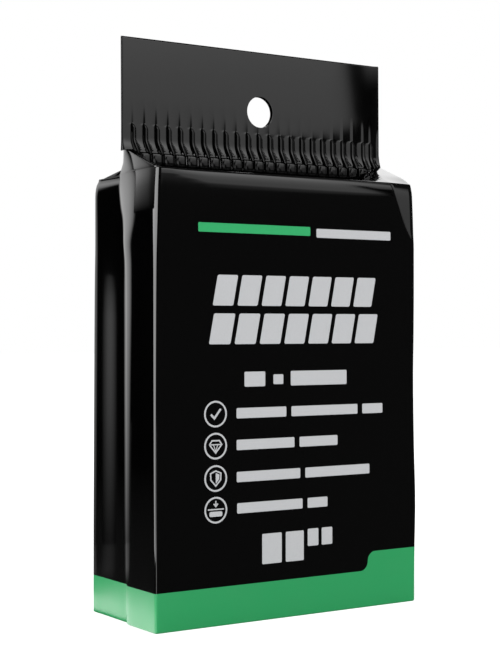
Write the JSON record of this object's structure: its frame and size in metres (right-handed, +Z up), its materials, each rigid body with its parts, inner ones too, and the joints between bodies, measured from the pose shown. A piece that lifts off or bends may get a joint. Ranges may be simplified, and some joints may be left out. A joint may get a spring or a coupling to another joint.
{
  "type": "hang-sell pouch of card holders",
  "caption": "Gusseted film pouch holding a stack of clear card holders, with a ribbed crimp seal and a folding header tab with a hang hole.",
  "frame": {"origin": "on the surface the pack stands on, below the middle of the pouch", "axes": "+Z up, the printed front faces -Y, +X to the right seen from the front"},
  "size_m": [0.092, 0.0404, 0.1655],
  "materials": {
    "black_film": "glossy printed film",
    "green_film": "glossy printed film",
    "clear_sheet": "clear, smooth"
  },
  "bodies": {
    "pouch": {"pouch_film": "black_film", "crimp_seal": "black_film", "bottom_seal_fin": "green_film", "card_holder_01": "clear_sheet", "card_holder_02": "clear_sheet", "card_holder_03": "clear_sheet", "card_holder_04": "clear_sheet", "card_holder_05": "clear_sheet", "card_holder_06": "clear_sheet", "card_holder_07": "clear_sheet", "card_holder_08": "clear_sheet", "card_holder_09": "clear_sheet", "card_holder_10": "clear_sheet", "card_holder_11": "clear_sheet", "card_holder_12": "clear_sheet", "card_holder_13": "clear_sheet", "card_holder_14": "clear_sheet", "card_holder_15": "clear_sheet", "card_holder_16": "clear_sheet", "card_holder_17": "clear_sheet", "card_holder_18": "clear_sheet", "card_holder_19": "clear_sheet", "card_holder_20": "clear_sheet", "card_holder_21": "clear_sheet", "card_holder_22": "clear_sheet", "card_holder_23": "clear_sheet", "card_holder_24": "clear_sheet", "card_holder_25": "clear_sheet", "card_holder_26": "clear_sheet", "card_holder_27": "clear_sheet", "card_holder_28": "clear_sheet", "card_holder_29": "clear_sheet", "card_holder_30": "clear_sheet", "card_holder_31": "clear_sheet", "card_holder_32": "clear_sheet", "card_holder_33": "clear_sheet", "card_holder_34": "clear_sheet", "card_holder_35": "clear_sheet", "card_holder_36": "clear_sheet", "card_holder_37": "clear_sheet", "card_holder_38": "clear_sheet", "card_holder_39": "clear_sheet", "card_holder_40": "clear_sheet", "card_holder_41": "clear_sheet", "card_holder_42": "clear_sheet", "card_holder_43": "clear_sheet", "card_holder_44": "clear_sheet", "card_holder_45": "clear_sheet", "card_holder_46": "clear_sheet", "card_holder_47": "clear_sheet", "card_holder_48": "clear_sheet", "card_holder_49": "clear_sheet", "card_holder_50": "clear_sheet"},
    "header": {"header_tab": "black_film"}
  },
  "joints": [
    {"name": "header_fold", "type": "hinge", "parent": "pouch", "child": "header", "pos_m": [0, -0.0016, 0.1413], "axis": [1, 0, 0], "range_deg": [-120, 120], "stiffness_Nm_per_rad": 0.002}
  ]
}
